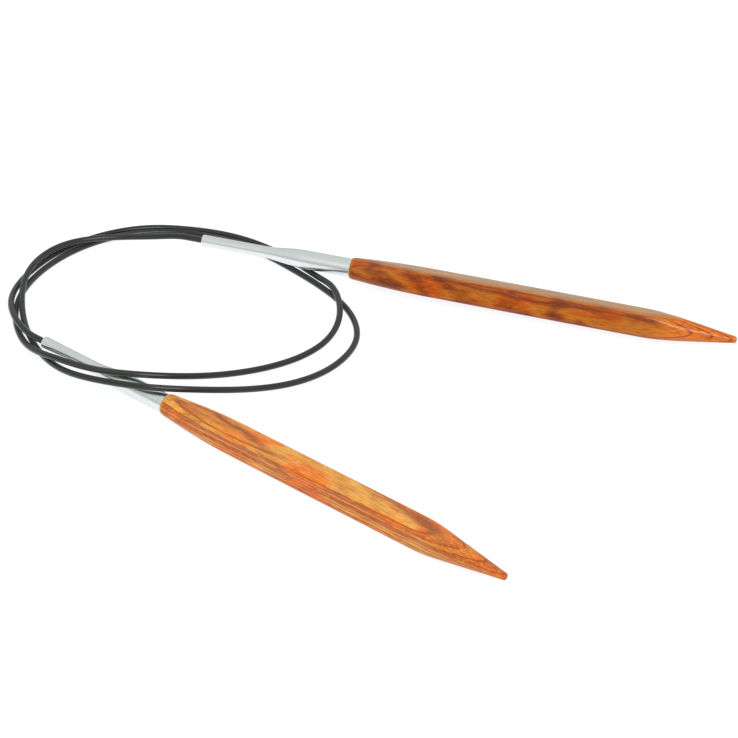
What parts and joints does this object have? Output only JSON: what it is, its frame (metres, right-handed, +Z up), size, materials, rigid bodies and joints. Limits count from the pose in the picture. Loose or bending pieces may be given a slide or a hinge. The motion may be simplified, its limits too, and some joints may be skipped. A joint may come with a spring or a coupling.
{
  "type": "circular knitting needle",
  "caption": "Circular knitting needle: square laminated-wood tips on tapered metal ferrules, joined by a thin flexible cable that swivels in them and lies in loose turns.",
  "frame": {"origin": "on the table under the middle of the box that the two tips make, measured without the cable", "axes": "+X the way both points face, along the longer side of the two tips' box; +Y from needle B to needle A; +Z up from the table"},
  "size_m": [0.1714, 0.1366, 0.0075],
  "materials": {
    "wood": "dyed laminated veneers under clear gloss lacquer",
    "ferrule": "polished nickel plate",
    "fitting": "turned stainless steel",
    "cable": "smooth semi-gloss black coating"
  },
  "bodies": {
    "needle_b": {"wooden_tip_b": "wood", "ferrule_b": "ferrule", "mouth_bush_b": "fitting", "chamber_plug_b": "fitting"},
    "cable_joint_b": {"cable_end_b": "cable", "crimp_collar_b": "fitting"},
    "cable": {"cable": "cable"},
    "needle_a": {"wooden_tip_a": "wood", "ferrule_a": "ferrule", "mouth_bush_a": "fitting", "chamber_plug_a": "fitting"},
    "cable_joint_a": {"cable_end_a": "cable", "crimp_collar_a": "fitting"}
  },
  "joints": [
    {"name": "swivel_b", "type": "hinge", "parent": "needle_b", "child": "cable_joint_b", "pos_m": [-0.07956, 0.02052, 0.003], "axis": [0.7793, -0.6266, 0], "continuous": true},
    {"name": "flex_b", "type": "hinge", "parent": "cable_joint_b", "child": "cable", "pos_m": [-0.08096, 0.02165, 0.003], "axis": [-0.3504, -0.4358, -0.829], "range_deg": [0, 50], "stiffness_Nm_per_rad": 0.04},
    {"name": "flex_a", "type": "hinge", "parent": "cable", "child": "cable_joint_a", "pos_m": [-0.048, 0.06253, 0.0045], "axis": [-0.308, -0.9514, 0], "range_deg": [0, 50], "stiffness_Nm_per_rad": 0.04},
    {"name": "swivel_a", "type": "hinge", "parent": "cable_joint_a", "child": "needle_a", "pos_m": [-0.04515, 0.06161, 0.00447], "axis": [0.9513, -0.308, -0.0086], "continuous": true}
  ]
}
